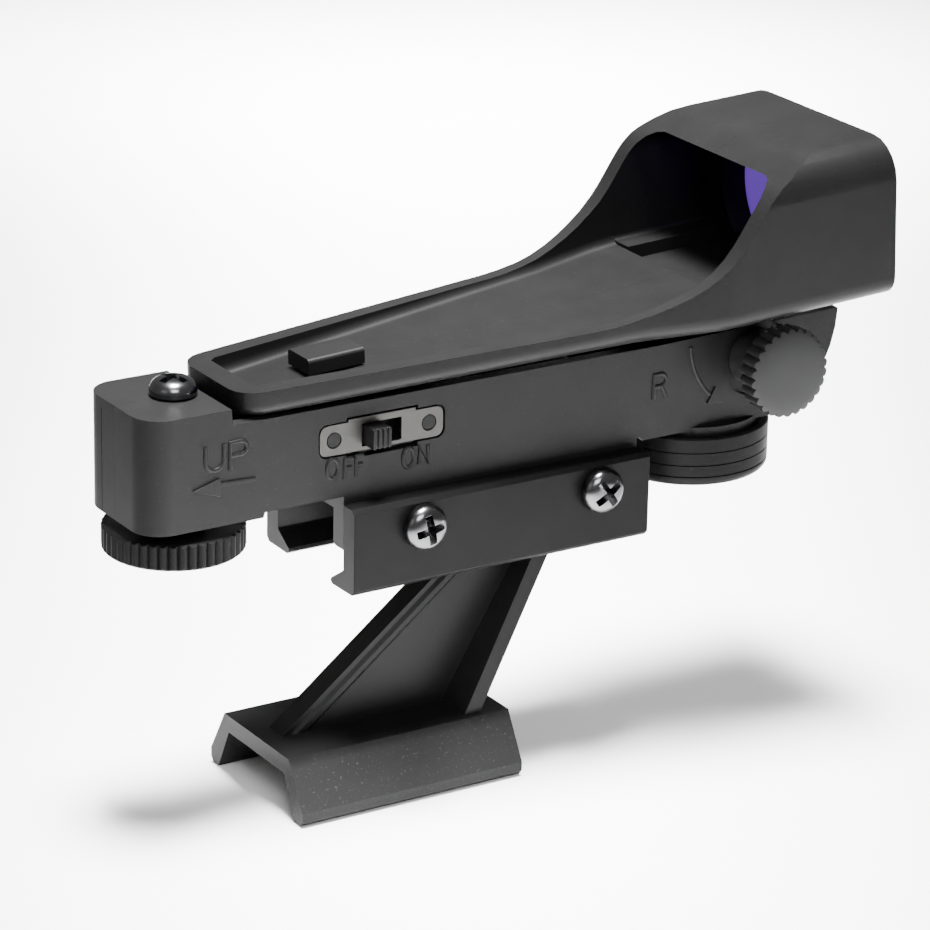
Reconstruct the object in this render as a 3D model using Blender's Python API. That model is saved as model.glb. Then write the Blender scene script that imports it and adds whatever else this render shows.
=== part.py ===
"""Red-dot finder scope on a slanted bracket with a dovetail foot.

X points forward (towards the lens), Y left, Z up.  The origin is the middle of the
underside of the foot's web, the face that stands over the finder shoe.
Dimensions below are millimetres in the working axes of the body: x = 0 is the rear
face of the frame, z = 0 the top edge of its side walls, y = 0 the middle plane.
"""
import math

import bmesh
import bpy
from mathutils import Matrix, Vector

MM = 0.001

# position of the model origin in working axes
ORIGIN_X = 48.45
ORIGIN_Z = -64.6

# running and standing clearances
GAP = 0.3
FIT = 0.05
SWING = 0.22

# frame: two halves bolted together on the middle plane
FRAME_HALF = 11.0
FRAME_WALL = 2.2
SEAM = 0.15
BLOCK_FRONT = 15.7
BLOCK_TOP = 2.75
BLOCK_BOTTOM = -17.1
BLOCK_CORNER = 5.0
FLOOR_BOTTOM = -16.2
FLOOR_TOP = -14.0
FRONT_BOTTOM = -16.8
FRONT_X = 137.4
FRAME_POSTS = ((3.9, -12.4), (66.0, -6.0), (88.0, -6.0), (130.6, -5.0))

# rail clamp under the frame
CLAMP_REAR = 36.9
CLAMP_FRONT = 95.4
SLAB_BOTTOM = -19.2
JAW_OUTER = 14.8
LUG_INNER = 7.7
LUG_BOTTOM = -25.7
CLAMP_SCREW_X = (49.8, 85.2)
CLAMP_SCREW_Z = -22.3

# adjusters
ALT_X = 10.9
ALT_NUT_Z = -11.0
AZ_X = 120.0
AZ_Z = -5.4
M4 = 2.0
ALT_KNOB_R = 12.0
ALT_KNOB_TOP = -19.2
ALT_KNOB_BOTTOM = -23.7
AZ_KNOB_R = 8.0

# optical housing, modelled level and then pitched about the azimuth screw
PITCH = math.radians(2.8)
BASE_Z = 5.0
RIM_Z = 9.2
ROOF_Z = 32.5
CEILING_Z = 29.15
HOUSING_REAR = 18.2
HOUSING_FRONT = 141.4
REAR_HALF = 10.7
HOOD_HALF = 22.5
HOOD_LOW = 4.6
HOOD_WALL = 3.3
STEP_X = 110.5
LENS_Z = 18.6
CAVITY_END = 130.6
SEAT_END = 138.9
HOUSING_SCREWS = ((50.0, -1.0), (105.0, 1.6))

# slide switch
SWITCH_X = 44.2
SWITCH_Z = -6.0
SWITCH_PITCH = 18.3
SLIDER_X = 42.45

# battery compartment
BATTERY_X = 113.5
CAP_R = 14.5
CAP_TOP = -17.8
CAP_BOTTOM = -26.8
CELL_R = 10.0

# bracket
FOOT_REAR = 26.6
FOOT_FRONT = 70.3
FOOT_TOP = -61.5
FOOT_BOTTOM = -72.2
RAIL_TOP = -26.2
RAIL_REAR = 48.0
RAIL_FRONT = 92.0


# ---------------------------------------------------------------- helpers
def clear_scene():
    """Remove whatever the start-up scene holds."""
    for item in list(bpy.data.objects):
        bpy.data.objects.remove(item, do_unlink=True)


def place(point):
    """Working millimetres to model metres."""
    x, y, z = point
    return Vector(((x - ORIGIN_X) * MM, y * MM, (z - ORIGIN_Z) * MM))


def solid(name, bm):
    """Turn a bmesh in working millimetres into an object in model metres."""
    bmesh.ops.remove_doubles(bm, verts=bm.verts, dist=1e-5)
    bmesh.ops.recalc_face_normals(bm, faces=bm.faces)
    for vert in bm.verts:
        vert.co = place(vert.co)
    mesh = bpy.data.meshes.new(name)
    bm.to_mesh(mesh)
    bm.free()
    item = bpy.data.objects.new(name, mesh)
    bpy.context.scene.collection.objects.link(item)
    return item


def at_plane(plane, first, second, depth):
    """A point from two in-plane coordinates and the depth across the plane."""
    if plane == "XZ":
        return (first, depth, second)
    if plane == "XY":
        return (first, second, depth)
    return (depth, first, second)


def prism(name, outline, plane, low, high):
    """Straight extrusion of a closed outline."""
    bm = bmesh.new()
    ends = [[bm.verts.new(at_plane(plane, a, b, depth)) for a, b in outline]
            for depth in (low, high)]
    bm.faces.new(ends[0])
    bm.faces.new(list(reversed(ends[1])))
    count = len(outline)
    for i in range(count):
        j = (i + 1) % count
        bm.faces.new((ends[0][i], ends[0][j], ends[1][j], ends[1][i]))
    return solid(name, bm)


def box(name, low, high):
    """Box between two corners."""
    outline = [(low[0], low[1]), (high[0], low[1]), (high[0], high[1]), (low[0], high[1])]
    return prism(name, outline, "XY", low[2], high[2])


def loft(name, sections):
    """Closed skin through sections with equal point counts."""
    bm = bmesh.new()
    rings = [[bm.verts.new(p) for p in section] for section in sections]
    bm.faces.new(rings[0])
    bm.faces.new(list(reversed(rings[-1])))
    count = len(rings[0])
    for ring, following in zip(rings, rings[1:]):
        for i in range(count):
            j = (i + 1) % count
            bm.faces.new((ring[i], ring[j], following[j], following[i]))
    return solid(name, bm)


def turned(name, axis, centre, profile, segments=32):
    """Solid of revolution from (radius, station) pairs that start and end on the axis."""
    bm = bmesh.new()
    index = "XYZ".index(axis)
    others = [(1, 2), (2, 0), (0, 1)][index]
    rings = []
    for radius, station in profile:
        base = list(centre)
        base[index] = station
        if radius < 1e-6:
            rings.append([bm.verts.new(base)])
            continue
        ring = []
        for k in range(segments):
            angle = 2 * math.pi * (k + 0.5) / segments
            p = list(base)
            p[others[0]] += radius * math.cos(angle)
            p[others[1]] += radius * math.sin(angle)
            ring.append(bm.verts.new(p))
        rings.append(ring)
    pairs = list(zip(rings, rings[1:]))
    if len(rings[0]) > 1:
        pairs.append((rings[-1], rings[0]))
    for ring, following in pairs:
        for k in range(segments):
            m = (k + 1) % segments
            corners = [ring[k % len(ring)], ring[m % len(ring)],
                       following[m % len(following)], following[k % len(following)]]
            bm.faces.new(list(dict.fromkeys(corners)))
    return solid(name, bm)


def rod(name, axis, centre, radius, low, high, segments=24):
    """Plain cylinder along an axis."""
    return turned(name, axis, centre, [(0, low), (radius, low), (radius, high), (0, high)],
                  segments)


def combine(target, tools, operation):
    """Exact Boolean of tools into target; the tools are used up."""
    for tool in tools:
        step = target.modifiers.new("step", "BOOLEAN")
        step.operation = operation
        step.solver = "EXACT"
        step.object = tool
        bpy.context.view_layer.objects.active = target
        bpy.ops.object.modifier_apply(modifier=step.name)
        bpy.data.objects.remove(tool, do_unlink=True)
    return target


def cut(target, *tools):
    """Subtract."""
    return combine(target, tools, "DIFFERENCE")


def fuse(target, *tools):
    """Add."""
    return combine(target, tools, "UNION")


def copy_of(item, name):
    """Independent copy of an object."""
    twin = item.copy()
    twin.data = item.data.copy()
    twin.name = name
    bpy.context.scene.collection.objects.link(twin)
    return twin


def halves(whole, right_name, left_name, reach=40.0):
    """Split a solid on the middle plane into a right and a left half."""
    low_x, high_x, low_z, high_z = -20.0, 170.0, -90.0, 60.0
    left = copy_of(whole, left_name)
    combine(whole, [box("keep", (low_x, -reach, low_z), (high_x, -SEAM, high_z))], "INTERSECT")
    combine(left, [box("keep", (low_x, SEAM, low_z), (high_x, reach, high_z))], "INTERSECT")
    whole.name = right_name
    return whole, left


def rounded(points, radii, steps=5):
    """Closed outline with its corners filleted."""
    out = []
    count = len(points)
    for i in range(count):
        here = Vector(points[i])
        radius = radii[i] if isinstance(radii, (list, tuple)) else radii
        if radius < 1e-6:
            out.append(tuple(here))
            continue
        before = (Vector(points[i - 1]) - here).normalized()
        after = (Vector(points[(i + 1) % count]) - here).normalized()
        half = before.angle(after) / 2
        centre = here + (before + after).normalized() * (radius / math.sin(half))
        start = here + before * (radius / math.tan(half)) - centre
        end = here + after * (radius / math.tan(half)) - centre
        for k in range(steps + 1):
            mix = start.slerp(end, k / steps)
            out.append(tuple(centre + mix * (radius / mix.length)))
    return out


def bezier(start, first, second, end, steps):
    """Points along a cubic curve, without its start point."""
    points = []
    for k in range(1, steps + 1):
        t = k / steps
        shares = ((1 - t) ** 3, 3 * t * (1 - t) ** 2, 3 * t * t * (1 - t), t ** 3)
        points.append(tuple(sum(share * p[i] for share, p in zip(shares, (start, first, second, end)))
                            for i in (0, 1)))
    return points


def truncated_circle(radius, flat, centre, steps=14):
    """Circle in Y and Z with its top and bottom cut flat."""
    limit = math.asin(min(1.0, flat / radius))
    points = []
    for side in (1, -1):
        for k in range(steps + 1):
            angle = -limit + 2 * limit * k / steps
            points.append((side * radius * math.cos(angle),
                           centre + side * radius * math.sin(angle)))
    return points


def toothed(radius, depth, teeth):
    """Outline of a coarse knurl as offsets from its centre."""
    points = []
    for k in range(teeth):
        for share, inset in ((0.12, 0.0), (0.5, 0.0), (0.68, depth), (0.94, depth)):
            angle = 2 * math.pi * (k + share) / teeth
            reach = radius - inset
            points.append((reach * math.cos(angle), reach * math.sin(angle)))
    return points


def pitched(*items):
    """Pitch level-built housing pieces nose up about the azimuth screw."""
    pivot = place((AZ_X, 0, AZ_Z))
    turn = (Matrix.Translation(pivot) @ Matrix.Rotation(-PITCH, 4, "Y")
            @ Matrix.Translation(-pivot))
    for item in items:
        item.data.transform(turn)
        item.data.update()


def level_point(x, z):
    """Where a working point lies before the housing is pitched."""
    run, rise = x - AZ_X, z - AZ_Z
    return (AZ_X + run * math.cos(PITCH) + rise * math.sin(PITCH),
            AZ_Z - run * math.sin(PITCH) + rise * math.cos(PITCH))


def finish(item, colour, roughness, metallic, smooth_deg=32.0):
    """Own material, smooth shading between soft edges."""
    material = bpy.data.materials.new(item.name + "_material")
    material.use_nodes = True
    shader = material.node_tree.nodes["Principled BSDF"]
    shader.inputs["Base Color"].default_value = (*colour, 1.0)
    shader.inputs["Roughness"].default_value = roughness
    shader.inputs["Metallic"].default_value = metallic
    item.data.materials.clear()
    item.data.materials.append(material)
    for face in item.data.polygons:
        face.use_smooth = True
        face.material_index = 0
    item.data.set_sharp_from_angle(angle=math.radians(smooth_deg))


# ---------------------------------------------------------------- screws and knobs
def cross_recess(axis, centre, face, inward, width=1.1, span=4.4, depth=1.6):
    """Cross-shaped cutter sunk into a screw head along an axis."""
    index = "XYZ".index(axis)
    others = [(1, 2), (2, 0), (0, 1)][index]
    bars = []
    for long_way in others:
        low = list(centre)
        high = list(centre)
        for way in others:
            half = span / 2 if way == long_way else width / 2
            low[way] -= half
            high[way] += half
        low[index], high[index] = sorted((face - inward * 1.0, face + inward * depth))
        bars.append(box("bar", low, high))
    return fuse(bars[0], bars[1])


def pan_screw(name, axis, centre, seat, outward, shaft_end, shaft_r=M4, head_r=4.0, head_h=2.9,
              segments=28):
    """Pan-head screw; seat is the underside of the head, outward its direction."""
    crown = seat + outward * head_h
    profile = [(0, shaft_end), (shaft_r * 0.8, shaft_end),
               (shaft_r, shaft_end + outward * shaft_r * 0.4), (shaft_r, seat),
               (head_r * 0.97, seat), (head_r, seat + outward * head_h * 0.2),
               (head_r * 0.96, seat + outward * head_h * 0.55),
               (head_r * 0.72, seat + outward * head_h * 0.88),
               (head_r * 0.35, crown), (0, crown)]
    screw = turned(name, axis, centre, profile, segments)
    if segments > 20:
        cut(screw, cross_recess(axis, centre, crown, -outward, head_r * 0.28, head_r * 1.15,
                                head_h * 0.6))
    return screw


def hex_nut(name, centre, low, high, across=7.0, bore=2.15):
    """Hexagon nut lying along Y."""
    corner = across / 2 / math.cos(math.pi / 6)
    outline = [(centre[0] + corner * math.cos(math.pi / 3 * k),
                centre[1] + corner * math.sin(math.pi / 3 * k)) for k in range(6)]
    nut = prism(name, outline, "XZ", low, high)
    return cut(nut, rod("bore", "Y", (centre[0], 0, centre[1]), bore, low - 1, high + 1))


def coil(name, axis, centre, low, high, radius, wire, turns):
    """Compression spring as a swept wire."""
    index = "XYZ".index(axis)
    others = [(1, 2), (2, 0), (0, 1)][index]
    curve = bpy.data.curves.new(name, "CURVE")
    curve.dimensions = "3D"
    curve.bevel_depth = wire / 2 * MM
    curve.bevel_resolution = 0
    curve.use_fill_caps = True
    path = curve.splines.new("POLY")
    steps = int(turns * 12)
    path.points.add(steps)
    for k in range(steps + 1):
        angle = 2 * math.pi * turns * k / steps
        p = list(centre)
        p[index] = low + wire / 2 + (high - low - wire) * k / steps
        p[others[0]] += radius * math.cos(angle)
        p[others[1]] += radius * math.sin(angle)
        path.points[k].co = (*place(p), 1.0)
    holder = bpy.data.objects.new(name + "_curve", curve)
    bpy.context.scene.collection.objects.link(holder)
    graph = bpy.context.evaluated_depsgraph_get()
    mesh = bpy.data.meshes.new_from_object(holder.evaluated_get(graph))
    bpy.data.objects.remove(holder, do_unlink=True)
    bm = bmesh.new()
    bm.from_mesh(mesh)
    bmesh.ops.remove_doubles(bm, verts=bm.verts, dist=1e-7)
    bmesh.ops.recalc_face_normals(bm, faces=bm.faces)
    bm.to_mesh(mesh)
    bm.free()
    item = bpy.data.objects.new(name, mesh)
    bpy.context.scene.collection.objects.link(item)
    return item


# ---------------------------------------------------------------- frame
def frame_side_outline():
    """Side view of the frame: tall rear block, long wall, rounded front."""
    front = []
    for k in range(9):
        angle = math.pi / 2 * k / 8
        front.append((FRONT_X - 14.4 * (1 - math.cos(angle)) - 0.4 * math.sin(angle),
                      0.9 + FRONT_BOTTOM * math.sin(angle) - 0.9 * math.sin(angle)))
    return ([(0, BLOCK_TOP), (BLOCK_FRONT, BLOCK_TOP), (BLOCK_FRONT + 0.3, 0.0), (100, 0.0)]
            + front
            + [(96.6, FRONT_BOTTOM), (96.0, FLOOR_BOTTOM), (22.0, FLOOR_BOTTOM),
               (21.7, BLOCK_BOTTOM), (0, BLOCK_BOTTOM)])


def frame_plan():
    """Plan view of the frame with its rounded rear corners."""
    corners = [(0, -FRAME_HALF), (FRONT_X + 2, -FRAME_HALF), (FRONT_X + 2, FRAME_HALF),
               (0, FRAME_HALF)]
    return rounded(corners, [BLOCK_CORNER, 0, 0, BLOCK_CORNER], 6)


def around_switch(half_length, half_height, radius):
    """Rounded rectangle about the middle of the switch."""
    corners = [(SWITCH_X + a * half_length, SWITCH_Z + b * half_height)
               for a, b in ((-1, -1), (1, -1), (1, 1), (-1, 1))]
    return rounded(corners, radius, 4)


def hook_outline(side, wall_in, wall_out, top):
    """Jaw profile in Y and Z: a wall that ends in an inward hook."""
    points = [(wall_in, top), (wall_out, top), (wall_out, -31.9), (wall_out - 0.8, -32.7),
              (7.8, -32.8), (7.1, -32.3), (7.3, -31.7), (10.6, -29.6), (wall_in, -29.1)]
    return [(side * y, z) for y, z in points]


def build_frame():
    """Both frame halves with the fixed clamp jaw and the battery socket."""
    frame = prism("frame", frame_side_outline(), "XZ", -FRAME_HALF - 3, FRAME_HALF + 3)
    combine(frame, [prism("plan", frame_plan(), "XY", -30, 10)], "INTERSECT")

    inner = FRAME_HALF - FRAME_WALL
    channel = [(16.5, 6), (16.5, FLOOR_TOP), (96, FLOOR_TOP), (122.0, FLOOR_TOP),
               (128.5, -10.5), (132.5, -5.5), (134.6, 6)]
    cut(frame,
        prism("channel", channel, "XZ", -inner, inner),
        prism("block_room", rounded([(2.2, -inner), (21.0, -inner), (21.0, inner), (2.2, inner)],
                                    [3.2, 0, 0, 3.2], 4), "XY", BLOCK_BOTTOM + 2.2, 0.4))

    slab = box("slab", (CLAMP_REAR, -FRAME_HALF, SLAB_BOTTOM),
               (CLAMP_FRONT, JAW_OUTER, FLOOR_BOTTOM + 0.6))
    lug = prism("lug", rounded([(-LUG_INNER, SLAB_BOTTOM + 1), (-LUG_INNER, LUG_BOTTOM),
                                (-FRAME_HALF, LUG_BOTTOM), (-FRAME_HALF, SLAB_BOTTOM + 1)],
                               [0, 1.0, 0, 0], 4), "YZ", CLAMP_REAR, CLAMP_FRONT)
    jaw = prism("jaw", hook_outline(1, FRAME_HALF, JAW_OUTER, SLAB_BOTTOM + 1), "YZ",
                CLAMP_REAR, CLAMP_FRONT)
    socket = turned("socket", "Z", (BATTERY_X, 0, 0),
                    [(10.5, -22.5), (12.9, -22.5), (12.9, FRONT_BOTTOM + 0.5),
                     (10.5, FRONT_BOTTOM + 0.5)], 48)
    fuse(frame, slab, lug, jaw, socket)

    posts = [rod("post", "Y", (x, 0, z), 2.1, -inner - 0.6, inner + 0.6, 16)
             for x, z in FRAME_POSTS]
    fuse(frame, *posts)
    for x, z in FRAME_POSTS:
        cut(frame,
            rod("pilot", "Y", (x, 0, z), 1.2, -7.4, inner + 3, 16),
            rod("sink", "Y", (x, 0, z), 2.5, FRAME_HALF - 1.6, FRAME_HALF + 1, 20))

    # holes of the adjusters and the clamp
    cut(frame,
        rod("alt_hole", "Z", (ALT_X, 0, 0), 2.3, -20, 5),
        rod("az_hole", "Y", (AZ_X, 0, AZ_Z), 2.3, -13, 13),
        rod("az_recess", "Y", (AZ_X, 0, AZ_Z), 7.0, -13, -FRAME_HALF + 1.0, 36))
    for x in CLAMP_SCREW_X:
        cut(frame, rod("clamp_hole", "Y", (x, 0, CLAMP_SCREW_Z), 2.25, -13, 17),
            prism("nut_room", [(x + 4.25 * math.cos(math.pi / 3 * k),
                                CLAMP_SCREW_Z + 4.25 * math.sin(math.pi / 3 * k))
                               for k in range(6)], "XZ", 11.6, 17))

    # switch: shallow seat with two pegs, opening behind the plate
    seat = prism("seat", around_switch(12.2, 3.0, 1.6), "XZ", -FRAME_HALF - 1,
                 -FRAME_HALF + 0.8)
    for side in (-1, 1):
        cut(seat, rod("peg", "Y", (SWITCH_X + side * SWITCH_PITCH / 2, 0, SWITCH_Z), 1.25,
                      -FRAME_HALF + 0.2, -8, 20))
    cut(frame, seat, box("switch_room", (SWITCH_X - 6.9, -FRAME_HALF - 1, SWITCH_Z - 3.7),
                         (SWITCH_X + 6.9, -FRAME_HALF + 4, SWITCH_Z + 3.6)))

    # contact slots of the battery
    cut(frame, box("contact_slot", (BATTERY_X + 9.9, -1.9, -23), (BATTERY_X + 11.0, 1.9, -16.9)))
    return halves(frame, "frame_right", "frame_left")


def build_clamp():
    """Removable clamp plate with its screws and nuts."""
    wall_in = FRAME_HALF + GAP
    plate_out = 15.0
    points = [(wall_in, -17.5), (plate_out - 0.8, -17.5), (plate_out, -18.3), (plate_out, -32.0),
              (plate_out - 0.8, -32.8), (7.8, -32.9), (7.1, -32.4), (7.3, -31.8),
              (10.7, -29.6), (wall_in, -29.1)]
    plate = prism("clamp_plate", [(-y, z) for y, z in points], "YZ", CLAMP_REAR - 0.2,
                  CLAMP_FRONT + 0.2)
    items = [plate]
    for x, place_name in zip(CLAMP_SCREW_X, ("rear", "front")):
        cut(plate, rod("hole", "Y", (x, 0, CLAMP_SCREW_Z), 2.2, -17, -8))
        items.append(pan_screw("clamp_screw_" + place_name, "Y", (x, 0, CLAMP_SCREW_Z),
                               -plate_out - GAP, -1, 14.4))
        items.append(hex_nut("clamp_nut_" + place_name, (x, CLAMP_SCREW_Z), 11.9, 14.7))
    return items


# ---------------------------------------------------------------- bracket
def build_bracket():
    """Foot, leaning T-section stalk and clamp rail in one casting."""
    foot_points = [(-15.2, FOOT_BOTTOM), (-16.0, FOOT_BOTTOM + 0.9), (-16.0, -69.7),
                   (-11.2, FOOT_TOP), (11.2, FOOT_TOP), (16.0, -69.7),
                   (16.0, FOOT_BOTTOM + 0.9), (15.2, FOOT_BOTTOM), (13.2, FOOT_BOTTOM),
                   (9.6, ORIGIN_Z), (-9.6, ORIGIN_Z), (-13.2, FOOT_BOTTOM)]
    bracket = prism("bracket", foot_points, "YZ", FOOT_REAR, FOOT_FRONT)

    lean = 0.597
    flange_base = 62.1

    def flange_x(z):
        return flange_base + (z - FOOT_TOP) * lean

    def rear_x(z):
        return 30.4 + (z - FOOT_TOP) * 1.268

    low, high = FOOT_TOP - 0.5, -33.0
    web = prism("web", [(rear_x(low), low), (flange_x(low) + 1, low), (flange_x(high) + 1, high),
                        (rear_x(high), high)], "XZ", -2.3, 2.3)
    bead_r = 2.8
    bead_sections = []
    for z in (low, high):
        centre_x = rear_x(z) + bead_r * 1.2
        bead_sections.append([(centre_x + bead_r * 1.2 * math.cos(a), bead_r * math.sin(a), z)
                              for a in [2 * math.pi * k / 14 for k in range(14)]])
    bead = loft("bead", bead_sections)
    flange_sections = []
    for z, half in ((low, 10.0), (-47.0, 8.1), (high, 6.3)):
        flange_sections.append([(flange_x(z), -half, z), (flange_x(z) + 3.3, -half, z),
                                (flange_x(z) + 3.3, half, z), (flange_x(z), half, z)])
    flange = loft("flange", flange_sections)
    neck = box("neck", (flange_x(high) - 22.0, -6.3, high - 1.2),
               (flange_x(high) + 3.4, 6.3, -30.5))
    rail_points = [(-6.3, -32.0), (-10.5, -29.0), (-10.5, RAIL_TOP), (10.5, RAIL_TOP),
                   (10.5, -29.0), (6.3, -32.0)]
    rail = prism("rail", rail_points, "YZ", RAIL_REAR, RAIL_FRONT)
    return fuse(bracket, web, bead, flange, neck, rail)


# ---------------------------------------------------------------- optical housing
TAPER_END = 86.0
TAPER = 0.113
SHOULDER = (109.4, 19.3)
BROW = (119.4, 29.4)


def half_width(x):
    """Outer half width of the housing: a straight taper that flares out into the hood."""
    taper = REAR_HALF + TAPER * (min(x, TAPER_END) - HOUSING_REAR)
    share = min(1.0, max(0.0, (x - TAPER_END) / (STEP_X - TAPER_END)))
    return taper + (HOOD_HALF - taper) * share * share * (3 - 2 * share)


def rim_outline():
    """Side view of the edge: level rim, sweep up to the hood and its rounded brow."""
    level = (82.0, RIM_Z)
    return ([(0, RIM_Z + 0.5), level]
            + bezier(level, (93.2, RIM_Z), (104.4, 12.8), SHOULDER, 9)
            + bezier(SHOULDER, (112.3, 22.7), (114.7, 27.75), BROW, 8)
            + bezier(BROW, (121.6, 30.5), (125.0, ROOF_Z), (129.5, ROOF_Z), 4))


def tube_section(x, half, low, high, r_low, r_high, steps=5):
    """Rounded rectangle across the housing."""
    outline = rounded([(-half, low), (half, low), (half, high), (-half, high)],
                      [r_low, r_low, r_high, r_high], steps)
    return [(x, y, z) for y, z in outline]


def outer_sections():
    """Skin stations from the rounded rear end to the hood's front."""
    sections = []
    corner = 4.2
    for inset in (0.0, 0.35, 1.2, 2.6, corner):
        x = HOUSING_REAR + inset
        drop = corner - math.sqrt(corner ** 2 - (corner - inset) ** 2)
        sections.append(tube_section(x, half_width(x) - drop, BASE_Z, ROOF_Z, 2.2, 5.0))
    for x, low_r, top_r in ((40, 2.6, 6.0), (60, 3.0, 6.4), (TAPER_END, 3.3, 6.8),
                            (91, 3.4, 6.8), (95, 3.5, 6.8), (99, 3.5, 6.8), (103, 3.6, 6.8),
                            (107, 3.6, 6.8), (STEP_X, 3.8, 6.8), (HOUSING_FRONT, 3.8, 6.8)):
        share = min(1.0, max(0.0, (x - TAPER_END) / (STEP_X - TAPER_END)))
        low = BASE_Z + (HOOD_LOW - BASE_Z) * share
        sections.append(tube_section(x, half_width(x), low, ROOF_Z, low_r, top_r))
    return sections


def build_housing():
    """Both housing halves: tray, hood, lens seat and the two ribs that reach into the frame."""
    housing = loft("housing", outer_sections())
    above = [(0, 60)] + rim_outline() + [(129.6, 60)]
    cut(housing, prism("above", above, "XZ", -40, 40))

    tray = []
    for x, wall, floor in ((22.3, 4.3, 6.3), (23.5, 3.5, 6.33), (40, 3.2, 6.8), (60, 2.8, 7.3),
                           (80, 2.5, 7.8), (92, 2.5, 8.2), (98, 2.6, 8.4),
                           (104.5, 2.9, 8.7), (STEP_X, HOOD_WALL, 9.0)):
        tray.append(tube_section(x, half_width(x) - wall, floor, CEILING_Z, 1.6, 3.6, 4))
    cut(housing, loft("tray", tray))
    inner = HOOD_HALF - HOOD_WALL
    upper = [tube_section(x, inner, 9.6, CEILING_Z, 0.8, 4.0, 4)
             for x in (STEP_X - 0.1, CAVITY_END)]
    lower = box("lower", (STEP_X - 0.1, -14.5, 7.2), (CAVITY_END, 14.5, 12.0))
    cut(housing, fuse(loft("upper", upper), lower),
        prism("lens_seat", truncated_circle(15.4, 10.9, LENS_Z), "YZ", CAVITY_END - 1, SEAT_END),
        prism("lens_view", truncated_circle(13.2, 9.4, LENS_Z), "YZ", SEAT_END - 1,
              HOUSING_FRONT + 2))

    rear_rib = prism("rear_rib", [(22, BASE_Z + 0.4), (22, 1.0), (17.5, -2.3), (14, -2.3),
                                  (14, -8.7), (36, -8.0), (50, -6.0), (58, -1.0),
                                  (58, BASE_Z + 0.4)], "XZ", -3.0, 3.0)
    nut_x, nut_z = level_point(ALT_X, ALT_NUT_Z)
    head = box("head", (nut_x - 4.1, -5.6, nut_z - 3.1), (nut_x + 5.6, 5.6, nut_z + 3.4))
    front_rib = prism("front_rib", [(100, BASE_Z + 0.4), (100, 1), (108, -1.5), (113.6, -10.4),
                                    (126.2, -10.4), (127, -1), (127, BASE_Z + 0.4)],
                      "XZ", -3.2, 3.2)
    fuse(housing, rear_rib, head, front_rib)
    cut(housing,
        box("screw_slot", (nut_x - 2.7, -2.35, -12), (nut_x + 2.7, 2.35, 0)),
        rod("nut_bore", "Y", (nut_x, 0, nut_z), 3.0 + FIT, -4.7, 4.7, 24),
        rod("pivot_bore", "Y", (AZ_X, 0, AZ_Z), 4.0 + FIT, -6, 6, 32))
    for x, z in HOUSING_SCREWS:
        cut(housing, rod("pilot", "Y", (x, 0, z), 1.15, -2.4, 6, 14),
            rod("sink", "Y", (x, 0, z), 2.2, 2.0, 6, 18))
    cut(housing, rod("wire_way", "Z", (39.0, 0, 0), 1.4, BASE_Z - 1, 8, 16))
    return halves(housing, "housing_right", "housing_left")


def build_optics():
    """Lens, its retaining bezel, the lamp and the lamp cover."""
    lens = turned("lens", "X", (0, 0, LENS_Z),
                  [(0, 136.2), (6, 136.05), (11, 135.7), (14.8, 135.3), (15.0, 135.5),
                   (15.0, 138.4), (14.8, 138.6), (0, 138.6)], 56)
    combine(lens, [box("flats", (120, -20, LENS_Z - 10.5), (145, 20, LENS_Z + 10.5))],
            "INTERSECT")

    bezel = prism("lens_bezel", truncated_circle(15.0, 10.2, LENS_Z), "YZ", 130.9, 134.9)
    funnel = turned("funnel", "X", (0, 0, LENS_Z),
                    [(0, 129), (14.6, 129), (14.4, 130.9), (13.4, 134.9), (13.2, 136), (0, 136)],
                    56)
    combine(funnel, [box("flats", (120, -20, LENS_Z - 9.2), (145, 20, LENS_Z + 9.2))],
            "INTERSECT")
    cut(bezel, funnel)

    cover = prism("led_cover", rounded([(-3.5, 7.25), (3.5, 7.25), (3.5, 10.0), (-3.5, 10.0)],
                                       [0, 0, 0.7, 0.7], 3), "YZ", 35.0, 45.7)
    cut(cover, rod("lamp_room", "X", (0, 0, 8.45), 1.0, 38.0, 47.0, 20),
        rod("lead_room", "Z", (39.0, 0, 0), 0.9, 6, 8.6, 14))
    lamp = turned("led_lamp", "X", (0, 0, 8.45),
                  [(0, 40.0), (0.85, 40.0), (0.85, 44.2), (0.6, 44.9), (0.3, 45.2), (0, 45.3)],
                  20)
    return [lens, bezel, cover, lamp]


# ---------------------------------------------------------------- adjusters
def build_altitude():
    """Vertical screw, knurled knob, barrel nut and spring at the rear."""
    shaft_end = ALT_KNOB_BOTTOM + 1.2
    screw = pan_screw("altitude_screw", "Z", (ALT_X, 0, 0), BLOCK_TOP + GAP, 1, shaft_end)
    knob = prism("altitude_knob", [(ALT_X + a, b) for a, b in toothed(ALT_KNOB_R, 0.45, 32)],
                 "XY", ALT_KNOB_BOTTOM, ALT_KNOB_TOP)
    fuse(knob, rod("hub", "Z", (ALT_X, 0, 0), 5.0, ALT_KNOB_TOP - 0.7, BLOCK_BOTTOM - GAP))
    cut(knob, rod("bore", "Z", (ALT_X, 0, 0), M4 + FIT, shaft_end - GAP, -16))
    nut = rod("altitude_nut", "Y", (ALT_X, 0, ALT_NUT_Z), 3.0, -4.4, 4.4, 24)
    cut(nut, rod("thread", "Z", (ALT_X, 0, 0), M4 + SWING, -20, 0))
    spring = coil("altitude_spring", "Z", (ALT_X, 0, 0), -7.0, 0.1, 3.1, 0.42, 3.5)
    return [screw, knob, nut, spring]


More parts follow.
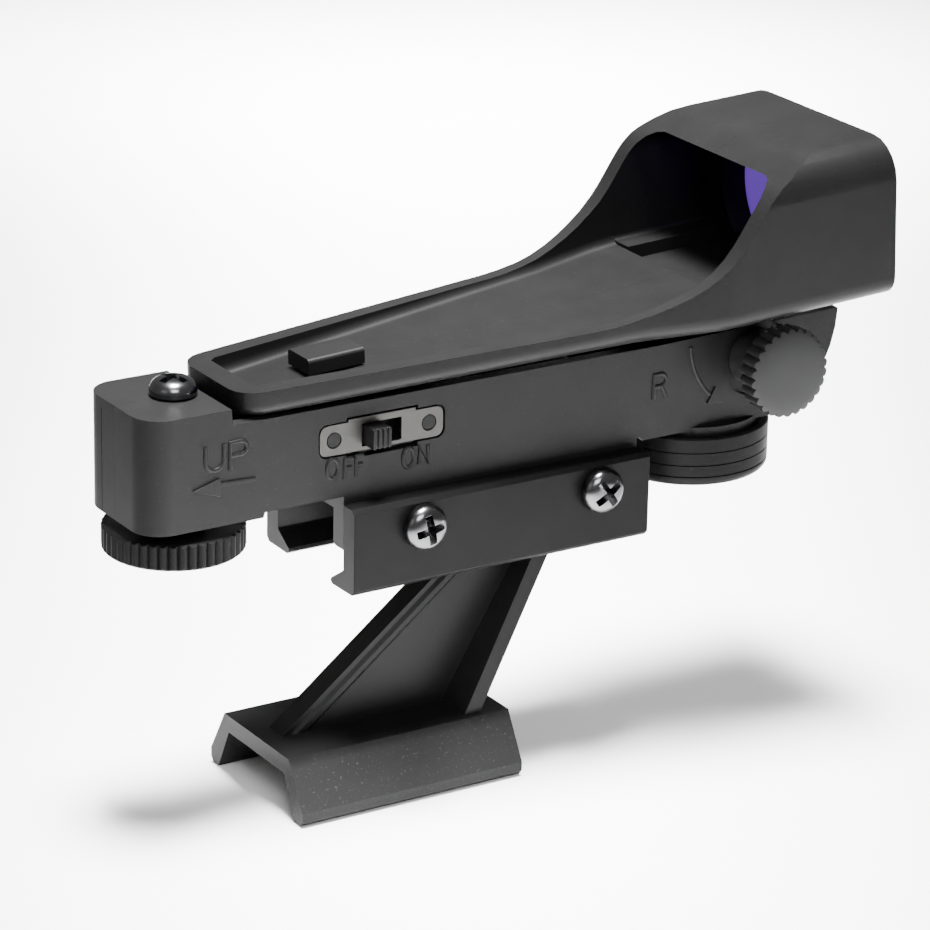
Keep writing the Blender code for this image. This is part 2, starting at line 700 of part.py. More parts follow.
def build_azimuth():
    """Cross screw, domed knob, pivot nut and spring near the front."""
    centre = (AZ_X, 0, AZ_Z)
    screw = pan_screw("azimuth_screw", "Y", centre, FRAME_HALF + GAP, 1, -20.4)
    sections = []
    for y, radius, depth in ((-17.5, AZ_KNOB_R, 0.45), (-21.2, AZ_KNOB_R, 0.45),
                             (-21.6, 6.6, 0.1), (-21.9, 4.6, 0.0), (-22.0, 2.4, 0.0)):
        sections.append([(AZ_X + a, y, AZ_Z + b) for a, b in toothed(radius, depth, 24)])
    knob = loft("azimuth_knob", sections)
    fuse(knob, rod("hub", "Y", centre, 5.2, -18.0, -FRAME_HALF + 1.0 - GAP))
    cut(knob, rod("bore", "Y", centre, M4 + FIT, -20.7, -8))
    nut = turned("azimuth_nut", "Y", centre,
                 [(M4 + SWING, -4.5), (5.2, -4.5), (5.2, -3.5), (4.0, -3.5), (4.0, 3.5),
                  (5.2, 3.5), (5.2, 4.5), (M4 + SWING, 4.5)], 32)
    spring = coil("azimuth_spring", "Y", centre, -8.6, -4.8, 3.1, 0.36, 2.5)
    return [screw, knob, nut, spring]


# ---------------------------------------------------------------- switch and battery
def build_switch():
    """Nickel plate with folded edges, moulded body and ribbed slider."""
    front, back = -FRAME_HALF + 0.1, -FRAME_HALF + 0.6
    plate = prism("switch_plate", around_switch(11.9, 2.7, 1.4), "XZ", front, back)
    fold = box("fold", (SWITCH_X - 6.5, front, SWITCH_Z + 2.4),
               (SWITCH_X + 6.5, -FRAME_HALF + 5.6, SWITCH_Z + 3.2))
    fuse(plate, fold)
    cut(plate, box("window", (SWITCH_X - 3.8, -13, SWITCH_Z - 1.95),
                   (SWITCH_X + 3.75, -10.1, SWITCH_Z + 1.95)))
    for side in (-1, 1):
        cut(plate, rod("hole", "Y", (SWITCH_X + side * SWITCH_PITCH / 2, 0, SWITCH_Z), 1.4,
                       -13, -9, 24))

    body = box("switch_body", (SWITCH_X - 6.4, -FRAME_HALF + 0.8, SWITCH_Z - 3.2),
               (SWITCH_X + 6.4, -FRAME_HALF + 6.0, SWITCH_Z + 2.15))
    cut(body, box("way", (SWITCH_X - 4.4, -12, SWITCH_Z - 1.95),
                  (SWITCH_X + 4.3, -FRAME_HALF + 3.6, SWITCH_Z + 1.95)))

    slider = box("switch_slider", (SLIDER_X - 1.75, -14.1, SWITCH_Z - 1.75),
                 (SLIDER_X + 1.75, -FRAME_HALF + 3.3, SWITCH_Z + 1.75))
    for k in range(3):
        x = SLIDER_X - 0.95 + 0.95 * k
        cut(slider, box("groove", (x - 0.18, -14.6, SWITCH_Z - 2), (x + 0.18, -13.75, SWITCH_Z + 2)))
    return [plate, body, slider]


def strip(name, path, thickness, half):
    """Thin sheet strip bent along a path in X and Z."""
    low = [(x, z - thickness / 2) for x, z in path]
    high = [(x, z + thickness / 2) for x, z in reversed(path)]
    return prism(name, low + high, "XZ", -half, half)


def build_battery():
    """Stepped battery cap, coin cell and its two contacts."""
    bore = 13.2
    profile = [(0, CAP_BOTTOM), (bore, CAP_BOTTOM), (14.1, CAP_BOTTOM + 0.3),
               (CAP_R, CAP_BOTTOM + 1.0)]
    for z in (CAP_BOTTOM + 1.8, CAP_BOTTOM + 4.0, CAP_BOTTOM + 6.3):
        profile += [(CAP_R, z - 0.2), (CAP_R - 0.3, z), (CAP_R, z + 0.2)]
    profile += [(CAP_R, CAP_TOP - 0.3), (CAP_R - 0.3, CAP_TOP), (bore, CAP_TOP),
                (bore, -23.8), (0, -23.8)]
    cap = turned("battery_cap", "Z", (BATTERY_X, 0, 0), profile, 40)
    cell = turned("battery", "Z", (BATTERY_X, 0, 0),
                  [(0, -23.5), (9.7, -23.5), (CELL_R, -23.2), (CELL_R, -20.7), (9.0, -20.5),
                   (8.9, -20.3), (0, -20.3)], 32)
    spring_path = [(BATTERY_X + run, -19.9 if run == 0 else -17.3)
                   for run in (-7.0, -3.5, 0, 3.5, 7.0)]
    negative = strip("contact_negative", spring_path, 0.35, 2.0)
    positive = box("contact_positive", (BATTERY_X + 10.3, -1.5, -22.3),
                   (BATTERY_X + 10.7, 1.5, -17.1))
    return [cap, cell, negative, positive]


def build_small_screws():
    """Screws that hold the frame halves and the housing halves together."""
    items = []
    for number, (x, z) in enumerate(FRAME_POSTS, 1):
        items.append(pan_screw(f"frame_screw_{number}", "Y", (x, 0, z), FRAME_HALF - 1.3, 1,
                               -7.0, 1.1, 2.2, 1.2, 16))
    tilted = []
    for number, (x, z) in enumerate(HOUSING_SCREWS, 1):
        tilted.append(pan_screw(f"housing_screw_{number}", "Y", (x, 0, z), 2.2, 1, -2.2,
                                1.05, 2.0, 0.9, 14))
    return items, tilted


# ---------------------------------------------------------------- assembly
BLACK_ABS = (0.022, 0.022, 0.024)
FRAME_GREY = (0.035, 0.035, 0.038)
NICKEL = (0.62, 0.60, 0.56)
DARK_ZINC = (0.12, 0.12, 0.13)
BRASS = (0.66, 0.48, 0.20)

LOOKS = {
    "housing": (BLACK_ABS, 0.45, 0.0),
    "frame_s": (DARK_ZINC, 0.3, 1.0),
    "frame": (FRAME_GREY, 0.5, 0.0),
    "clamp_p": (FRAME_GREY, 0.4, 0.0),
    "clamp_s": (DARK_ZINC, 0.25, 1.0),
    "clamp_n": (NICKEL, 0.35, 1.0),
    "bracket": (FRAME_GREY, 0.6, 0.0),
    "lens_b": (BLACK_ABS, 0.4, 0.0),
    "lens": ((0.42, 0.28, 0.75), 0.05, 0.0),
    "led_c": (BLACK_ABS, 0.5, 0.0),
    "led_l": ((0.75, 0.10, 0.08), 0.15, 0.0),
    "altitude_k": (BLACK_ABS, 0.5, 0.0),
    "azimuth_k": (BLACK_ABS, 0.5, 0.0),
    "altitude_n": (BRASS, 0.35, 1.0),
    "azimuth_n": (BRASS, 0.35, 1.0),
    "altitude": (DARK_ZINC, 0.25, 1.0),
    "azimuth": (DARK_ZINC, 0.25, 1.0),
    "switch_p": (NICKEL, 0.3, 1.0),
    "switch": (BLACK_ABS, 0.5, 0.0),
    "battery_c": (FRAME_GREY, 0.5, 0.0),
    "battery": (NICKEL, 0.25, 1.0),
    "contact": (NICKEL, 0.35, 1.0),
}


def look_for(name):
    """Finish of a piece: the longest matching key wins."""
    keys = [key for key in LOOKS if name.startswith(key)]
    return LOOKS[max(keys, key=len)]


def main():
    """Build every piece."""
    clear_scene()
    pieces = list(build_frame()) + build_clamp() + [build_bracket()]
    pieces += build_altitude() + build_azimuth() + build_switch() + build_battery()
    fixed_screws, housing_screws = build_small_screws()
    housing_pieces = list(build_housing()) + build_optics() + housing_screws
    pitched(*housing_pieces)
    pieces += fixed_screws + housing_pieces
    for piece in pieces:
        finish(piece, *look_for(piece.name))


main()
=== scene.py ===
import math

import bpy
from mathutils import Matrix, Vector


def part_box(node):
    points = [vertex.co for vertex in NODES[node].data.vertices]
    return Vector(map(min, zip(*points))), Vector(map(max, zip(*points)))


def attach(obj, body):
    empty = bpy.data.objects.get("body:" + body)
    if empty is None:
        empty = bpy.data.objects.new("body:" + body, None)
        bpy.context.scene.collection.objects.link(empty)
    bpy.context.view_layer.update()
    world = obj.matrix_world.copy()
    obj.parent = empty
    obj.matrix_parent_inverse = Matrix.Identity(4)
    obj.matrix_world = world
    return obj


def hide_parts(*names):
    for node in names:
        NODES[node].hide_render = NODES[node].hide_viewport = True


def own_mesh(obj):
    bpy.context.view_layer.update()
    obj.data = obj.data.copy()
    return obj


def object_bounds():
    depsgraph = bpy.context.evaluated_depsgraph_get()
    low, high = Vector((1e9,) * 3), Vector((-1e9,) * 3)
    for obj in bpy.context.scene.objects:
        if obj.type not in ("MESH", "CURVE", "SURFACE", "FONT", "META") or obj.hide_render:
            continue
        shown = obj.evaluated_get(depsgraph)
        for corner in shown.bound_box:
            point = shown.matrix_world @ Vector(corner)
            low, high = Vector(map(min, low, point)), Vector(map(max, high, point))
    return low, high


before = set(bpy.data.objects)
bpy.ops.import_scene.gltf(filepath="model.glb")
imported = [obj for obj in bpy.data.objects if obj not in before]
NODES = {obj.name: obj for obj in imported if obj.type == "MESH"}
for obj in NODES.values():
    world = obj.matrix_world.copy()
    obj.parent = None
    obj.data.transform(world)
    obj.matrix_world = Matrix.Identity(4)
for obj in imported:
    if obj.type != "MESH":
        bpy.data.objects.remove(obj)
CAD_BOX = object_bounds()

MM = 0.001
MERGE = 2e-6            # points closer than this many metres are one point

# finishes
PLASTIC_SHEEN = 0.16    # specular level of the moulded plastic
SPECK_GREY = 0.3        # colour of the bright specks in the moulding

# moulded marks, in millimetres
MARK_RADIUS = 0.40      # half the width of a stroke
MARK_FLATNESS = 0.75    # how far a stroke stands out, as a share of its radius
ARROW_HEIGHT = 0.40     # how far a flat arrow head stands out
ARROW_HUB = (120.7, -0.2)   # middle of the curved arrow's arc
ARROW_REACH = 14.7      # radius of that arc
SUNK = 0.15             # how far a mark goes into the wall behind it

# pan-head screws, in millimetres
HEAD_RADIUS = 4.0
HEAD_HEIGHT = 2.9
HEAD_SKIRT = 0.8        # height of the head's straight side
SHAFT_RADIUS = 1.94
SHAFT_CHAMFER = 0.6
RECESS_TOP = (3.0, 0.72)        # half length and half width of a cross arm at the crown
RECESS_BOTTOM = (1.1, 0.40)     # and at its floor
RECESS_DEPTH = 2.3
BORE_RADIUS = 2.05      # bore of a knob, around its screw

# view, in degrees, millimetres of lens and metres
VIEW_TURN = 32.3        # from straight at the right side, towards the rear
VIEW_LIFT = 20.4
VIEW_ROLL = 1.2
VIEW_LENS = 166.45
VIEW_AIM = (0.0041155, -0.02356, 0.0552918)
VIEW_DISTANCE = 0.70724

# main stations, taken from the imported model
FRAME_LOW, FRAME_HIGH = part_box("frame_right")
SIDE_Y = -11 * MM
REAR_X = FRAME_LOW.x
EDGE_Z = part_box("frame_left")[1].z - 2.75 * MM


def at(x, z, y=0.0):
    """Point from millimetres forward of the frame's rear face and above its top edge."""
    return Vector((REAR_X + x * MM, y * MM, EDGE_Z + z * MM))


# ---------------------------------------------------------------- finishes
class Value:
    """A socket of a finish's nodes that can stand in an expression."""

    def __init__(self, finish, socket):
        self.finish = finish
        self.socket = socket

    def _math(self, operation, first, second):
        return self.finish.node("ShaderNodeMath", {"operation": operation}, {0: first, 1: second})

    def __add__(self, other):
        return self._math("ADD", self, other)

    __radd__ = __add__

    def __mul__(self, other):
        return self._math("MULTIPLY", self, other)

    __rmul__ = __mul__


class Finish:
    """A node material: a Principled shader with whatever varies over the surface."""

    def __init__(self, name, **constants):
        self.material = bpy.data.materials.new(name)
        self.material.use_nodes = True
        self.tree = self.material.node_tree
        self.shader = self.tree.nodes["Principled BSDF"]
        for socket, value in constants.items():
            self.shader.inputs[socket.replace("_", " ")].default_value = value

    def node(self, kind, settings=None, inputs=None, output=0):
        """Add a node, set it up, feed its sockets and return one of its outputs."""
        made = self.tree.nodes.new(kind)
        for name, value in (settings or {}).items():
            setattr(made, name, value)
        for key, value in (inputs or {}).items():
            if isinstance(value, Value):
                self.tree.links.new(value.socket, made.inputs[key])
            else:
                made.inputs[key].default_value = value
        return Value(self, made.outputs[output])

    def place(self, stretch=(1.0, 1.0, 1.0)):
        """Object position in millimetres, stretched along the axes."""
        position = self.node("ShaderNodeTexCoord", output="Object")
        factors = tuple(share / MM for share in stretch)
        return self.node("ShaderNodeVectorMath", {"operation": "MULTIPLY"},
                         {0: position, 1: factors})

    def noise(self, size, detail=2.0, stretch=(1.0, 1.0, 1.0)):
        """Noise whose features are about size millimetres across."""
        return self.node("ShaderNodeTexNoise", None,
                         {"Vector": self.place(stretch), "Scale": 1.0 / size, "Detail": detail})

    def spread(self, value, low, high, to_low=0.0, to_high=1.0):
        """Stretch a range of a value to another range, held at its ends."""
        return self.node("ShaderNodeMapRange", None,
                         {"Value": value, "From Min": low, "From Max": high,
                          "To Min": to_low, "To Max": to_high})

    def blend(self, mask, first, second):
        """Mix two colours."""
        return self.node("ShaderNodeMix", {"data_type": "RGBA"}, {0: mask, 6: first, 7: second}, 2)

    def bump(self, height, depth, before=None):
        """Surface relief of a depth in millimetres."""
        inputs = {"Height": height, "Distance": depth * MM, "Strength": 1.0}
        if before:
            inputs["Normal"] = before
        return self.node("ShaderNodeBump", None, inputs)

    def feed(self, socket, value):
        """Link a value to the shader."""
        self.tree.links.new(value.socket, self.shader.inputs[socket])


def grey(level):
    """Opaque neutral colour."""
    return (level, level, level, 1.0)


def moulded(name, level, roughness, grain=0.22, depth=0.018, speck=0.05, cloud=0.10,
            sheen=PLASTIC_SHEEN):
    """Dark moulded plastic: fine grain, faint clouding and a few bright specks."""
    finish = Finish(name, Specular_IOR_Level=sheen)
    clouds = finish.noise(9.0, 3.0)
    fine = finish.noise(grain, 3.0)
    specks = finish.spread(finish.noise(grain * 1.4, 1.0), 0.70, 0.80)
    base = finish.blend(clouds, grey(level * (1 - cloud)), grey(level * (1 + cloud)))
    finish.feed("Base Color", finish.blend(specks * speck, base, grey(SPECK_GREY)))
    finish.feed("Roughness", finish.spread(clouds * 0.6 + fine * 0.4, 0.3, 0.7,
                                           roughness - 0.04, roughness + 0.05))
    finish.feed("Normal", finish.bump(fine, depth))
    return finish.material


def grained_foot(name, level, roughness, sheen):
    """Moulded plastic whose lower part, the foot, has a coarser sandy grain and a base colour made
    1.9 times lighter, partly for that grain and partly as painted light on the foot's lit flank.
    """
    finish = Finish(name, Specular_IOR_Level=sheen)
    clouds = finish.noise(8.0, 3.0)
    fine = finish.noise(0.2, 3.0)
    coarse = finish.noise(0.42, 4.0)
    height = finish.node("ShaderNodeSeparateXYZ", None, {0: finish.place()}, 2)
    sandy_and_lit = finish.spread(height, 1.5, 3.0, 1.0, 0.0)
    base = finish.blend(clouds, grey(level * 0.9), grey(level * 1.12))
    # partly painted light: the foot's band is made lighter both for its coarse grain and for the
    # light falling on its flank
    base = finish.blend(sandy_and_lit, base, grey(level * 1.9))
    specks = finish.spread(coarse, 0.62, 0.78)
    finish.feed("Base Color", finish.blend(specks * sandy_and_lit * 0.10 + specks * 0.02, base,
                                           grey(SPECK_GREY)))
    finish.feed("Roughness", finish.spread(sandy_and_lit + clouds * 0.2, 0.0, 1.2,
                                           roughness, roughness + 0.10))
    first = finish.bump(fine, 0.014)
    finish.feed("Normal", finish.bump(coarse * sandy_and_lit, 0.06, first))
    return finish.material


def painted(name, level, roughness, sheen):
    """Satin paint on metal with faint orange peel."""
    finish = Finish(name, Specular_IOR_Level=sheen, Coat_Roughness=0.3)
    clouds = finish.noise(12.0, 2.0)
    peel = finish.noise(0.5, 2.0)
    finish.feed("Base Color", finish.blend(clouds, grey(level * 0.92), grey(level * 1.08)))
    finish.feed("Roughness", finish.spread(clouds, 0.3, 0.7, roughness - 0.03, roughness + 0.04))
    finish.feed("Coat Weight", finish.spread(clouds, 0.3, 0.7, 0.01, 0.03))
    finish.feed("Normal", finish.bump(peel, 0.012))
    return finish.material


def metal(name, colour, roughness, stretch=(1.0, 1.0, 1.0), grain=0.15, depth=0.006, stain=0.12):
    """Plated or turned metal with fine tool marks and uneven plating."""
    finish = Finish(name, Metallic=1.0)
    marks = finish.noise(grain, 3.0, stretch)
    clouds = finish.noise(1.6, 3.0)
    dull = tuple(c * (1 - stain) for c in colour[:3]) + (1.0,)
    finish.feed("Base Color", finish.blend(clouds, dull, colour))
    finish.feed("Roughness", finish.spread(marks * 0.5 + clouds * 0.5, 0.3, 0.7,
                                           roughness * 0.8, roughness * 1.3))
    finish.feed("Normal", finish.bump(marks, depth))
    return finish.material


def coated_glass_painted_reflection(name):
    """Lens with a violet reflective coating that shifts a little towards its edge, and a violet
    glow that paints in the reflection of the bright surroundings.
    """
    finish = Finish(name, Roughness=0.06, Specular_IOR_Level=0.6, IOR=1.5)
    height = finish.node("ShaderNodeSeparateXYZ", None, {0: finish.place()}, 2)
    drift = finish.spread(height + finish.noise(6.0, 1.0) * 2.0, 76.0, 94.0)
    finish.feed("Base Color", finish.blend(drift, (0.130, 0.058, 0.420, 1.0),
                                           (0.165, 0.080, 0.520, 1.0)))
    # painted reflection: the lens glows violet, a little lighter higher up, in place of the bright
    # surroundings it would reflect
    finish.feed("Emission Color", finish.blend(drift, (0.115, 0.042, 0.360, 1.0),
                                               (0.140, 0.055, 0.430, 1.0)))
    finish.shader.inputs["Emission Strength"].default_value = 1.0
    return finish.material


def clear_red(name):
    """Red lamp body."""
    finish = Finish(name, Specular_IOR_Level=0.6, Roughness=0.12)
    depth = finish.noise(0.8, 2.0)
    finish.feed("Base Color", finish.blend(depth, (0.45, 0.02, 0.02, 1.0), (0.75, 0.06, 0.05, 1.0)))
    return finish.material


HOUSING = moulded("housing_plastic", 0.0055, 0.40, sheen=0.14)
FRAME = moulded("frame_plastic", 0.007, 0.44, grain=0.26, depth=0.020, speck=0.05)
# one knob plastic in two painted tones: KNOB is lighter and glossier, painted light on the side
# knob's lit face; the rear knob's copy is darker and duller, painted shade where the frame shades
# it
KNOB = moulded("knob_plastic", 0.018, 0.40, grain=0.2, depth=0.012, speck=0.03, sheen=0.22)
SHADED_KNOB = moulded("knob_plastic_painted_shade", 0.006, 0.42, grain=0.2, depth=0.012, speck=0.03,
                    sheen=0.08)
OPTIC = moulded("optic_plastic", 0.005, 0.42, grain=0.25, depth=0.010, speck=0.02)
CAP = moulded("cap_plastic", 0.005, 0.44, grain=0.22, depth=0.016, sheen=0.08)
SWITCH_BLACK = moulded("switch_plastic", 0.006, 0.35, grain=0.3, depth=0.008, speck=0.0)
BRACKET = grained_foot("bracket_plastic", 0.007, 0.42, 0.10)
PAINT = painted("clamp_paint", 0.0045, 0.40, 0.07)
SCREW_STEEL = metal("screw_steel", (0.13, 0.13, 0.135, 1.0), 0.19)
NUT_STEEL = metal("nut_steel", (0.56, 0.55, 0.53, 1.0), 0.32)
SMALL_STEEL = metal("small_screw_steel", (0.10, 0.10, 0.105, 1.0), 0.28)
SHEET_NICKEL = metal("sheet_nickel", (0.075, 0.074, 0.071, 1.0), 0.42, (0.15, 1.0, 1.0), 0.3, 0.01)
STRIP_NICKEL = metal("strip_nickel", (0.60, 0.58, 0.54, 1.0), 0.30)
SPRING_STEEL = metal("spring_steel", (0.42, 0.42, 0.43, 1.0), 0.28)
TURNED_BRASS = metal("turned_brass", (0.62, 0.44, 0.18, 1.0), 0.28, (1.0, 1.0, 0.1))
CELL_CAN = metal("cell_can", (0.62, 0.61, 0.58, 1.0), 0.22)
GLASS = coated_glass_painted_reflection("coated_glass_painted_reflection")
LAMP = clear_red("lamp_red")


# ---------------------------------------------------------------- modelling helpers
def alone(item):
    """Deselect everything, then select and activate one object."""
    bpy.ops.object.select_all(action="DESELECT")
    item.select_set(True)
    bpy.context.view_layer.objects.active = item


def placed(name, data):
    """New object of some data, linked to the scene."""
    item = bpy.data.objects.new(name, data)
    bpy.context.scene.collection.objects.link(item)
    return item


def solid(name, points, edges, faces):
    """New mesh object from its points in metres."""
    mesh = bpy.data.meshes.new(name)
    mesh.from_pydata(points, edges, faces)
    return placed(name, mesh)


def in_edit(item, *steps):
    """Run edit-mode steps on a whole mesh, each a function, everything selected before each."""
    alone(item)
    bpy.ops.object.mode_set(mode="EDIT")
    for step in steps:
        bpy.ops.mesh.select_all(action="SELECT")
        step()
    bpy.ops.object.mode_set(mode="OBJECT")
    return item


def weld():
    """Merge points that lie on each other."""
    bpy.ops.mesh.remove_doubles(threshold=MERGE)


def face_outwards():
    """Turn all faces outwards."""
    bpy.ops.mesh.normals_make_consistent(inside=False)


def standing(way):
    """Rotation that stands a shape made along +Z along another direction."""
    return Vector((0, 0, 1)).rotation_difference(Vector(way)).to_matrix().to_4x4()


def joined_rings(first, second):
    """Points and faces of a closed solid between two rings with the same number of points."""
    count = len(first)
    faces = [tuple(reversed(range(count))), tuple(range(count, 2 * count))]
    faces += [(k, (k + 1) % count, (k + 1) % count + count, k + count) for k in range(count)]
    return list(first) + list(second), faces


def applied(item, kind, **settings):
    """Add a modifier with its settings and apply it."""
    alone(item)
    step = item.modifiers.new(kind.title(), kind)
    for name, value in settings.items():
        setattr(step, name, value)
    bpy.ops.object.modifier_apply(modifier=step.name)
    return item


def edges_rounded(item, width, segments=3, angle=30.0):
    """Round the sharp edges and keep the flats flat."""
    applied(item, "BEVEL", width=width * MM, segments=segments, limit_method="ANGLE",
            angle_limit=math.radians(angle), miter_outer="MITER_ARC")
    return smooth(item)


def smooth(item, angle=38.0):
    """Smooth shading with normals led by the large faces."""
    alone(item)
    bpy.ops.object.shade_smooth_by_angle(angle=math.radians(angle))
    applied(item, "WEIGHTED_NORMAL", keep_sharp=True)
    return item


def merged_copy(node, name):
    """A piece that starts as a CAD node's shape: points merged, flats made whole."""
    piece = placed(name, NODES[node].data.copy())
    piece.data.materials.clear()
    alone(piece)
    bpy.ops.mesh.customdata_custom_splitnormals_clear()
    bpy.ops.object.mode_set(mode="EDIT")
    bpy.ops.mesh.select_all(action="SELECT")
    weld()
    bpy.ops.mesh.dissolve_limited(angle_limit=math.radians(0.4))
    bpy.ops.object.mode_set(mode="OBJECT")
    return piece


def carved(piece, tool, operation="DIFFERENCE"):
    """Boolean with a tool that is used up."""
    applied(piece, "BOOLEAN", operation=operation, solver="EXACT", object=tool)
    bpy.data.objects.remove(tool, do_unlink=True)
    return piece


def block(name, low, high):
    """Box tool between two corners."""
    middle = (Vector(low) + Vector(high)) / 2
    bpy.ops.object.select_all(action="DESELECT")
    bpy.ops.mesh.primitive_cube_add(size=1.0, location=middle)
    item = bpy.context.active_object
    item.name = name
    item.scale = Vector(high) - Vector(low)
    bpy.ops.object.transform_apply(location=True, rotation=True, scale=True)
    return item


def spun(name, profile, centre, axis, steps=96):
    """Turned solid: a profile of (radius, station) in millimetres, from axis to axis, spun."""
    points = [(radius * MM, 0.0, station * MM) for radius, station in profile]
    item = solid(name, points, [(k, k + 1) for k in range(len(points) - 1)], [])

    def spin():
        bpy.ops.mesh.spin(steps=steps, angle=2 * math.pi, center=(0, 0, 0), axis=(0, 0, 1))

    in_edit(item, spin, weld, face_outwards)
    item.data.transform(Matrix.Translation(Vector(centre)) @ standing(axis))
    return item


def settle(piece, body, slot, finish, *nodes):
    """Give a finished piece its finish, its body and the CAD nodes it stands for."""
    piece.data.materials.clear()
    piece.data.materials.append(finish)
    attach(piece, body)
    if nodes:
        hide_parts(*nodes)
    return piece


def refined(node, body, slot, finish, width, segments=3, angle=30.0):
    """Replace a CAD node by the same shape with rounded edges."""
    piece = merged_copy(node, node + "_body")
    edges_rounded(piece, width, segments, angle)
    return settle(piece, body, slot, finish, node)


def carried_over(finish, slot, *nodes):
    """CAD nodes whose shape stays as it is."""
    for node in nodes:
        NODES[node].data.materials.clear()
        NODES[node].data.materials.append(finish)


# ---------------------------------------------------------------- housing and optics
def close_seam(piece):
    """Bring the joint face of a half up to the middle plane."""
    for vert in piece.data.vertices:
        if abs(vert.co.y) < 0.2 * MM:
            vert.co.y = math.copysign(0.012 * MM, vert.co.y)


def build_housing():
    """Both halves of the tray and hood."""
    for side in ("right", "left"):
        piece = merged_copy("housing_" + side, "housing_shell_" + side)
        close_seam(piece)
        edges_rounded(piece, 0.3, 3, 28.0)
        settle(piece, "housing", "housing", HOUSING, "housing_" + side)


def build_optics():
    """Lens, bezel and lamp cover."""
    refined("lens_bezel", "housing", "optic_plastic", OPTIC, 0.2)
    refined("lens", "housing", "lens", GLASS, 0.1)
    refined("led_cover", "housing", "optic_plastic", OPTIC, 0.25)


# ---------------------------------------------------------------- frame
def stroke_mark(name, *lines):
    """Raised mark of half-round strokes along lines on the frame's right side."""
    curve = bpy.data.curves.new(name, "CURVE")
    curve.dimensions = "3D"
    curve.bevel_depth = MARK_RADIUS * MM
    curve.bevel_resolution = 4
    curve.use_fill_caps = True
    for line in lines:
        path = curve.splines.new("POLY")
        path.points.add(len(line) - 1)
        for point, (x, z) in zip(path.points, line):
            point.co = (*at(x, z), 1.0)
    item = placed(name, curve)
    alone(item)
    bpy.ops.object.convert(target="MESH")
    for vert in item.data.vertices:
        vert.co.y = SIDE_Y + vert.co.y * MARK_FLATNESS
    in_edit(item, face_outwards)
    smooth(item, 50.0)
    return settle(item, "frame", "frame", FRAME)


def raised_shape(name, outline):
    """Flat raised mark from an outline of points forward of and above the frame's datum."""
    points = [at(x, z) for x, z in outline]
    for point in points:
        point.y = SIDE_Y + SUNK * MM
    item = solid(name, points, [], [tuple(range(len(points)))])

    def raise_face():
        rise = (0, -(ARROW_HEIGHT + SUNK) * MM, 0)
        bpy.ops.mesh.extrude_region_move(TRANSFORM_OT_translate={"value": rise})

    in_edit(item, raise_face, face_outwards)
    edges_rounded(item, 0.14, 2)
    return settle(item, "frame", "frame", FRAME)


def arc_points(centre, radius, start, end, steps):
    """Points on an arc, angles in degrees."""
    turns = [math.radians(start + (end - start) * k / steps) for k in range(steps + 1)]
    return [(centre[0] + radius * math.cos(turn), centre[1] + radius * math.sin(turn))
            for turn in turns]


def letter_o(x, z):
    """Upright oval stroke about a point."""
    return [(x + 1.05 * math.cos(math.radians(turn)), z + 1.75 * math.sin(math.radians(turn)))
            for turn in range(0, 361, 20)]


def build_frame():
    """Both frame halves and the marks beside the controls."""
    for side in ("right", "left"):
        piece = merged_copy("frame_" + side, "frame_shell_" + side)
        close_seam(piece)
        if side == "left":
            carved(piece, block("rear_seam", at(-1.0, -20.0, 4.3), at(0.3, 1.0, 4.46)))
        edges_rounded(piece, 0.35, 3, 30.0)
        settle(piece, "frame", "frame", FRAME, "frame_" + side)

    stroke_mark("mark_up",
                [(10.9, -2.9), (10.9, -5.5)] + arc_points((12.6, -5.5), 1.7, 180, 360, 12)
                + [(14.3, -2.9)],
                [(15.4, -7.6), (15.4, -2.9), (17.4, -2.9)]
                + arc_points((17.4, -4.05), 1.15, 90, -90, 8) + [(15.4, -5.2)])
    stroke_mark("mark_off", letter_o(34.7, -10.9),
                [(37.0, -13.0), (37.0, -9.6), (38.5, -9.6)], [(37.0, -11.2), (38.3, -11.2)],
                [(39.2, -12.9), (39.2, -9.4), (40.6, -9.4)], [(39.2, -11.0), (40.4, -11.0)])
    stroke_mark("mark_on", letter_o(49.3, -11.5),
                [(51.4, -13.0), (51.4, -9.9), (53.1, -13.0), (53.1, -9.9)])
    stroke_mark("mark_right",
                [(98.5, -9.6), (98.5, -5.2), (100.0, -5.2)]
                + arc_points((100.0, -6.3), 1.1, 90, -90, 8) + [(98.5, -7.4)],
                [(100.2, -7.4), (101.2, -9.6)])
    raised_shape("arrow_up", [(8.45, -10.1), (13.5, -8.6), (13.5, -9.4), (20.3, -9.7),
                              (20.3, -10.2), (13.5, -10.15), (13.5, -11.8)])
    stroke_mark("arrow_right", arc_points(ARROW_HUB, ARROW_REACH, 184.5, 226.0, 16))
    raised_shape("arrow_right_head", [(111.4, -9.3), (113.0, -12.5), (109.8, -12.3)])


# ---------------------------------------------------------------- clamp and bracket
def build_clamp():
    """Clamp plate with its rounded edges."""
    refined("clamp_plate", "clamp", "clamp_plate", PAINT, 0.25, 3, 25.0)
    carried_over(NUT_STEEL, "nuts", "clamp_nut_rear", "clamp_nut_front")


def build_bracket():
    """Foot, leaning stalk and rail."""
    refined("bracket", "bracket", "bracket", BRACKET, 0.45, 3, 30.0)


# ---------------------------------------------------------------- screws and knobs
def wedge(name, top, bottom, depth):
    """Block between an upper and a lower rectangle of half sizes, down from its top by a depth."""
    rings = [[(side * half[0] * MM, end * half[1] * MM, height * MM)
              for side, end in ((-1, -1), (1, -1), (1, 1), (-1, 1))]
             for half, height in ((bottom, -depth), (top, 0.0))]
    points, faces = joined_rings(*rings)
    return solid(name, points, [], faces)


